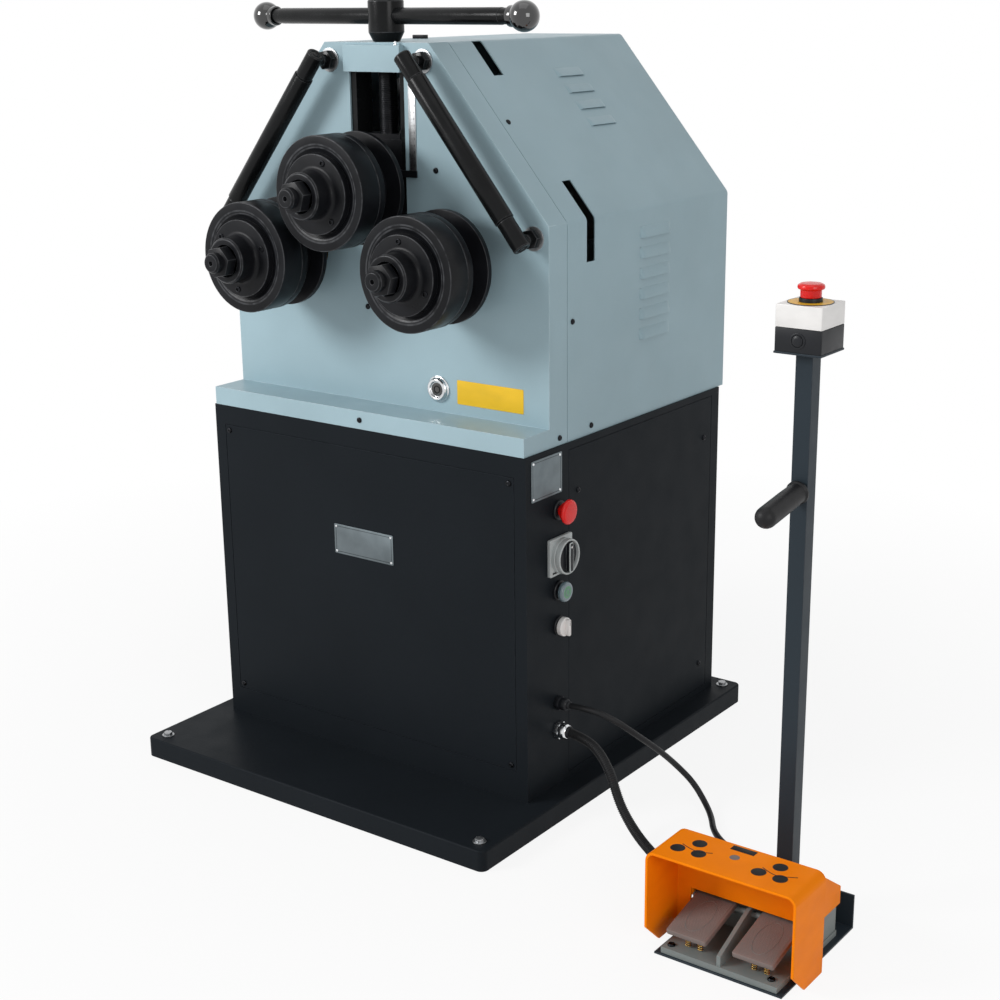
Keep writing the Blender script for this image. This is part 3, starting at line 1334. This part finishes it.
class BuildConsole(BuildStep):
    """Floor tray, square post with its cap plate, and the hand grip"""
    bl_idname = "ring_roller.console"
    bl_label = "Console frame"

    def build(self):
        edges = sizes()
        dressed("console_tray", "console_tray_painted", "console",
                edges.sheet_edge * 0.6)
        dressed("console_post", "console_post_painted", "console", 0.0008)
        tilt = math.radians(8)
        along = (0, -math.cos(tilt), -math.sin(tilt))
        grip = Shape()
        dome = [(15 * math.cos(math.radians(a)), 92 + 15.6 * math.sin(math.radians(a)))
                for a in range(0, 90, 10)]
        at = facing((CONSOLE_X, POST_Y - 12.3, 635), along)
        grip.turned([(0, 3), (16.4, 3), (16.4, 6), (14.4, 8.5), (14.6, 20), (15, 40), *dome,
                     (0, 107.6)], at, 0.5, 64)
        grip.turned(rectangle(0, 7, -1, 6), at, 0.2, 32, finish=1)
        grip.piece("hand_grip_moulded", "machine", ["grip", "zinc"], "grip_rubber", ["hand_grip"])


class BuildSwitchBox(BuildStep):
    """Switch box with its plug and white lid, and the stop button on it"""
    bl_idname = "ring_roller.switch_box"
    bl_label = "Switch box"

    def build(self):
        half, low, split, joint = 33.5, 825.5, 857.0, 1.2
        base = Shape()
        left, right, front, back = (CONSOLE_X - half, CONSOLE_X + half, POST_Y - half,
                                    POST_Y + half)
        corners = rectangle(left, right, front, back)
        base.prism(corners, low, split, edge=0.7, corner=2.2)
        at = facing((CONSOLE_X, POST_Y - half, (low + split) / 2), FRONT)
        rim = [(8.4, -1), (11, -1), (11, 0.7), (10, 1.2), (8.4, 1.2)]
        base.turned(rim, at, 0.2, 48, closed=True)
        base.turned([(0, -1), (7.6, -1), (7.6, 1.6), (4.4, 2.8), (0, 3)], at, 0.5, 40)
        base.piece("box_base", "machine", ["black_plastic"], "black_plastic", ["switch_box"])
        lid = Shape()
        lid.prism(corners, split + 0.5, BOX_TOP, edge=0.9, corner=2.2)
        inner = rectangle(left + joint, right - joint, front + joint, back - joint)
        lid.prism(inner, split - 0.1, split + 0.6, finish=1)
        lid.piece("box_lid", "machine", ["white", "ink"], "white_plastic", ["switch_box_lid"])
        stop = Shape().turned(BOX_MUSHROOM, facing((CONSOLE_X, POST_Y, BOX_TOP), UP), 0.8, 72)
        stop.piece("console_mushroom", "console_stop_press", ["stop"], "stop_plastic",
                   ["console_stop_button"])


PEDAL_HINGE = (-350.0, 50.0)
PEDAL_LENGTH = 90.0
PEDAL_TILT = 13.0
PEDALS = {"left": (741.0, "left_treadle"), "right": (843.0, "right_treadle")}


class BuildPedals(BuildStep):
    """Pedal base with its screws, two ribbed treadles and the springs under them"""
    bl_idname = "ring_roller.pedals"
    bl_label = "Pedals"

    def build(self):
        dressed("pedal_base", "pedal_base_moulded", "pedal_base", 0.0014)
        screws = [((x, y, 12), UP) for x, y in ((713, -429), (866, -427))]
        head = [(0, 0), (5.6, 0), (5.6, 1.4), (4.2, 3), (2.4, 3.2), (2.2, 2), (0, 2)]
        screw = Shape().turned(head, Matrix(), 0.3, 24)
        set_on_points("base_screws", "machine", "screw_black", screw, screws,
                      turn=1.0, seed=3)
        tilt = math.radians(PEDAL_TILT)
        for name, (x, body) in PEDALS.items():
            at = shifted(x, *PEDAL_HINGE) @ Matrix.Rotation(tilt, 4, "X")
            self.treadle(name, at, body)
            self.springs(name, x)

    def treadle(self, name, at, body):
        """A moulded plate with a barrel, fine cross ribs and an oval line."""
        plate = Shape()
        plate.prism(rectangle(-31, 31, -PEDAL_LENGTH, 0), 3.5, 12.0, edge=1.6, at=at, corner=3.0)
        barrel = at @ shifted(-28, 0, 0) @ Matrix.Rotation(math.pi / 2, 4, "Y")
        plate.turned(rectangle(4.05, 7.5, 0, 56), barrel, 0.5, 40, closed=True)
        plate.piece(f"treadle_{name}", body, ["pedal"], "pedal_plastic", [f"pedal_{name}"])
        rib = Shape()
        rib.prism([(-0.45, 0), (0.45, 0), (0.25, 0.4), (-0.25, 0.4)], -27, 27,
                  at=at @ facing_right(0, 4 - PEDAL_LENGTH, 12.0))
        step = at.to_3x3() @ Vector((0, 1.9, 0))
        in_a_row(f"treadle_ribs_{name}", body, "pedal", rib, 43, step)
        angles = [2 * math.pi * number / 12 for number in range(12)]
        route = [at @ (Vector((17 * math.cos(angle), -46 + 34 * math.sin(angle), 12.3)) * MM)
                 for angle in angles]
        printed_line(f"treadle_oval_{name}", body, "pedal_base", route, 0.0003,
                     rounding=1, cyclic=True)

    def springs(self, name, x):
        """Two short springs under the treadle's front, on the base."""
        coils = []
        for number, offset in enumerate((-7.0, 12.0)):
            at = facing((x + offset, -419.0, 12.6), UP)
            coil = wound(f"spring_{name}_{number}", at, 4.0, 3.6, 13.0, 0.7, 6, "brass")
            coils.append((coil, "brass"))
        joined(f"springs_{name}", "machine", coils)


HOOD_DISCS = [(710.0, -412.0), (729.0, -385.0), (742.0, -411.0),
              (832.0, -408.5), (850.0, -381.0), (864.0, -409.0)]
HOOD_ARCS = [((710.0, -398.5), (728.0, -406.5), (742.5, -406.5), (757.0, -399.0)),
             ((831.0, -395.0), (848.5, -404.0), (863.0, -403.5), (882.0, -393.0))]


class BuildHood(BuildStep):
    """Moulded guard over the pedals, with its printed discs, arcs and dark plate"""
    bl_idname = "ring_roller.hood"
    bl_label = "Pedal hood"

    def build(self):
        dressed("pedal_hood", "pedal_hood_moulded", "hood", sizes().mould_edge)
        prints = Shape()
        for x, y in HOOD_DISCS:
            disc = rectangle(0, 10.4, -0.2, 0.15)
            prints.turned(disc, facing((x, y, HOOD_TOP), UP), 0.05, 48)
        prints.turned(rectangle(0, 7, -0.2, 0.15), facing((787, -392, HOOD_TOP), UP), 0.05, 40,
                      finish=1)
        prints.block((770, -374, HOOD_TOP - 0.2), (806, -362, HOOD_TOP + 0.3), edge=0.1)
        prints.piece("hood_prints", "machine", ["ink", "pedal"], "black_plastic")
        for number, places in enumerate(HOOD_ARCS):
            route = [(x * MM, y * MM, HOOD_TOP * MM) for x, y in places]
            printed_line(f"hood_arc_{number}", "machine", "ink", route, 0.0006)


# ---------------------------------------------------------------- pieces: cords

def spline_length(curve, name):
    """Length of a curve's own line in metres."""
    host = linked(name, curve.copy())
    host.data.bevel_depth = 0.0
    data = taken(host, name)
    points = [vertex.co for vertex in data.vertices]
    bpy.data.meshes.remove(data)
    return sum((b - a).length for a, b in zip(points, points[1:]))


class BuildCords(BuildStep):
    """Control cable, ribbed conduit and the glands at both ends of each"""
    bl_idname = "ring_roller.cords"
    bl_label = "Cords"

    def build(self):
        thick = {"cable": sizes().cable, "conduit": sizes().conduit}
        ribs = self.ribs()
        for name, route, node, slot, extra in (
                ("cable", CABLE_ROUTE, "control_cable", "grip_rubber", []),
                ("conduit", CONDUIT_ROUTE, "ribbed_conduit", "grip_rubber", [ribs])):
            curve = nurbs_line(f"{name}_run", route, CORD_STEPS)
            real_length = spline_length(curve, f"{name}_measure")
            core = thick[name] / 2 if name == "cable" else thick[name] / 2 - 0.0009
            curve.bevel_depth = core
            curve.bevel_resolution = 5
            curve.use_fill_caps = True
            curve.materials.append(finish_named("rubber"))
            cord = linked(f"{name}_run", curve)
            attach(cord, "machine")
            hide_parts(node)
        self.glands()

    def ribs(self):
        """The conduit's ribs, set along its own line."""
        reach = sizes().conduit / 2 / MM
        rib = Shape()
        rib.turned([(reach - 1.2, -1.0), (reach - 0.2, -0.55), (reach, 0), (reach - 0.2, 0.55),
                    (reach - 1.2, 1.0)], Matrix(), 0.0, 20, closed=True)
        settings = {"Template": template_of(rib, "conduit_ribs"), "Pitch": sizes().rib_pitch,
                    "Finish": "rubber"}
        path = nurbs_line("conduit_ribs_path", CONDUIT_ROUTE, CORD_STEPS)
        data = run_tree(path_tree(), path, settings, "conduit_ribs")
        return piece(data, "conduit_ribs", "machine", ["rubber"])

    def glands(self):
        """Cord glands: hexagon, domed nut and tapered rubber nose at both ends of each cord."""
        shape = Shape()
        ends = (((CABINET_SIDE, GLAND_Y, 180), RIGHT, 10, 26, 0),
                ((CABINET_SIDE, GLAND_Y, 133), RIGHT, 16, 26, 1),
                ((735, -225.3, 28), (0, 1, 0), 10, 13, 0),
                ((705, -290, 36), (-1, 0, 0), 16, 13, 1))
        for place, along, across, long, used in ends:
            at = facing(place, along)
            base = long * 0.34
            nut = hexagon((across + 11) / math.sqrt(3))
            shape.prism(nut, 0, base, edge=0.6, at=at, finish=used)
            bore, nose = across / 2 + 0.1, across / 2 + 2
            dome = [(bore, base - 0.4), (nose + 3.4, base - 0.4), (nose + 3.4, base + long * 0.2),
                    (nose + 2.6, long * 0.72), (nose + 0.6, long * 0.84), (bore, long * 0.84)]
            shape.turned(dome, at, 0.6, 48, closed=True, finish=used)
            shape.turned([(bore, long * 0.6), (nose + 0.4, long * 0.6), (nose, long * 0.9),
                          (nose - 1, long), (bore, long)], at, 0.3, 40, closed=True)
        shape.piece("cord_glands_turned", "machine", ["black_plastic", "bright"], "black_plastic",
                    ["cord_glands"])


# ---------------------------------------------------------------- pieces: inside

class DressInside(BuildStep):
    """Finishes of the parts inside the machine"""
    bl_idname = "ring_roller.inside"
    bl_label = "Inside"

    def build(self):
        used = {"stand": ("deck_plate", "gearbox", "motor"),
                "bronze": ("shaft_bearings", "spindle_nut"),
                "steel": ("front_bearing_plate", "rear_bearing_plate", "frame_ties", "gear_left",
                          "gear_right", "drive_gear"), "zinc": ("switchgear",)}
        for name, nodes in used.items():
            for node in nodes:
                made = frame["nodes"][node]
                if not made.data.materials:
                    made.data.materials.append(finish_named(name))
                for slot in made.material_slots:
                    slot.material = finish_named(name)


# ---------------------------------------------------------------- stage

# Name, power setting, size, place and aim of each lamp, in metres
LAMPS = (("Key lamp", "key", 1.4, (-2.3, -3.4, 2.5), (0.0, -0.1, 0.8)),
         ("Fill lamp", "fill", 1.6, (3.4, -1.9, 1.7), (0.2, 0.0, 0.7)),
         ("Top lamp", "top", 2.2, (0.3, -0.6, 3.6), (0.1, -0.1, 0.6)))
CAMERA_PLACE = (1.76747, -2.23957, 1.27461)
CAMERA_TURNED, CAMERA_TILTED, CAMERA_ROLLED = 36.5066, 16.5411, -0.6785     # degrees
FLOOR_RADIUS = 60.0
FLOOR_DROP = 0.0005                 # keeps the floor clear of the base plate's underside


class BuildStage(bpy.types.Operator):
    """Pale floor, soft lamps, surrounding light and the camera"""
    bl_idname = "ring_roller.stage"
    bl_label = "Stage"

    def execute(self, context):
        settings = context.scene.roller_stage
        context.scene.view_settings.view_transform = "Standard"
        self.floor(settings)
        self.world(context.scene, settings)
        for name, setting, size, place, aim in LAMPS:
            lamp = bpy.data.lights.new(name, "AREA")
            lamp.energy = getattr(settings, setting)
            lamp.size = size
            holder = linked(name, lamp)
            holder.location = place
            towards = Vector(aim) - Vector(place)
            holder.rotation_euler = towards.to_track_quat("-Z", "Y").to_euler()
        self.camera(context.scene, settings)
        return {"FINISHED"}

    def camera(self, scene, settings):
        """A camera above the switch side's front corner."""
        camera = bpy.data.cameras.new("Camera")
        camera.sensor_width = 36.0
        camera.lens = settings.lens
        turn = (Matrix.Rotation(math.radians(CAMERA_TURNED), 4, "Z")
                @ Matrix.Rotation(math.radians(90 - CAMERA_TILTED), 4, "X")
                @ Matrix.Rotation(math.radians(CAMERA_ROLLED), 4, "Z"))
        holder = linked("Camera", camera)
        holder.matrix_world = Matrix.Translation(CAMERA_PLACE) @ turn
        scene.camera = holder

    def floor(self, settings):
        """A floor that fades into the white surroundings, and keeps the shadow near the object."""
        mesh = bmesh.new()
        bmesh.ops.create_circle(mesh, cap_ends=True, segments=96, radius=FLOOR_RADIUS)
        data = bpy.data.meshes.new("Floor")
        mesh.to_mesh(data)
        mesh.free()
        floor = linked("Floor", data)
        floor.location.z = -FLOOR_DROP
        finish = Finish("Floor")
        distance = finish.node("ShaderNodeVectorMath", {0: finish.place}, operation="LENGTH")
        far = finish.spread(distance.outputs["Value"], 0.7, 1.9, 0.88, 1.0)
        share = finish.math("MULTIPLY", far, finish.seen())
        white = finish.node("ShaderNodeEmission", {"Color": (1, 1, 1, 1), "Strength": 1.0})
        blended = finish.node("ShaderNodeMixShader", {0: share, 1: finish.shader.outputs[0],
                                                      2: white.outputs[0]})
        finish.feed(finish.tree.nodes["Material Output"], {"Surface": blended.outputs[0]})
        grain = finish.noise(60.0, 3.0)
        data.materials.append(finish.done((*settings.floor, 1.0), grain, 0.7, 0.8, 0.3, 0.7))

    def world(self, scene, settings):
        """White where it is seen or reflected, and softer where it lights the object."""
        world = bpy.data.worlds.new("Studio")
        world.use_nodes = True
        scene.world = world
        studio = NodeTree(world.node_tree)
        strength = studio.node("ShaderNodeMapRange", {0: studio.seen(), "To Min": settings.ambient,
                                                      "To Max": 1.0})
        studio.feed(studio.tree.nodes["Background"], {"Color": (1, 1, 1, 1),
                                                      "Strength": strength.outputs[0]})


# ---------------------------------------------------------------- add-on

STEPS = (BuildStage, BuildCords, BuildStand, BuildHousing, BuildLouvres, BuildRollers,
         BuildHubScrews, BuildSlide, BuildSpindle, BuildHandle, BuildGuideBars, BuildRule,
         BuildFittings, BuildCoverScrews, BuildSwitches, BuildIsolator, BuildConsole,
         BuildSwitchBox, BuildPedals, BuildHood, DressInside)


class RollerPanel(bpy.types.Panel):
    """Lists the ring roller's settings and build steps"""
    bl_idname = "VIEW3D_PT_ring_roller"
    bl_label = "Ring Roller"
    bl_space_type = "VIEW_3D"
    bl_region_type = "UI"
    bl_category = "Ring Roller"

    def draw(self, context):
        for group in ("roller_colours", "roller_sizes", "roller_stage"):
            settings = getattr(context.scene, group)
            column = self.layout.column(align=True)
            for name in settings.bl_rna.properties.keys():
                if name not in ("rna_type", "name"):
                    column.prop(settings, name)
        for step in STEPS:
            self.layout.operator(step.bl_idname)


CLASSES = (RollerColours, RollerSizes, RollerStage, *STEPS, RollerPanel)


def register():
    for item in CLASSES:
        bpy.utils.register_class(item)
    bpy.types.Scene.roller_colours = bpy.props.PointerProperty(type=RollerColours)
    bpy.types.Scene.roller_sizes = bpy.props.PointerProperty(type=RollerSizes)
    bpy.types.Scene.roller_stage = bpy.props.PointerProperty(type=RollerStage)


def unregister():
    for name in ("roller_colours", "roller_sizes", "roller_stage"):
        delattr(bpy.types.Scene, name)
    for item in reversed(CLASSES):
        bpy.utils.unregister_class(item)


def main():
    """Build the whole machine, and write how large it and its frame are."""
    register()
    for step in STEPS:
        group, name = step.bl_idname.split(".")
        getattr(getattr(bpy.ops, group), name)()


if __name__ == "__main__":
    main()
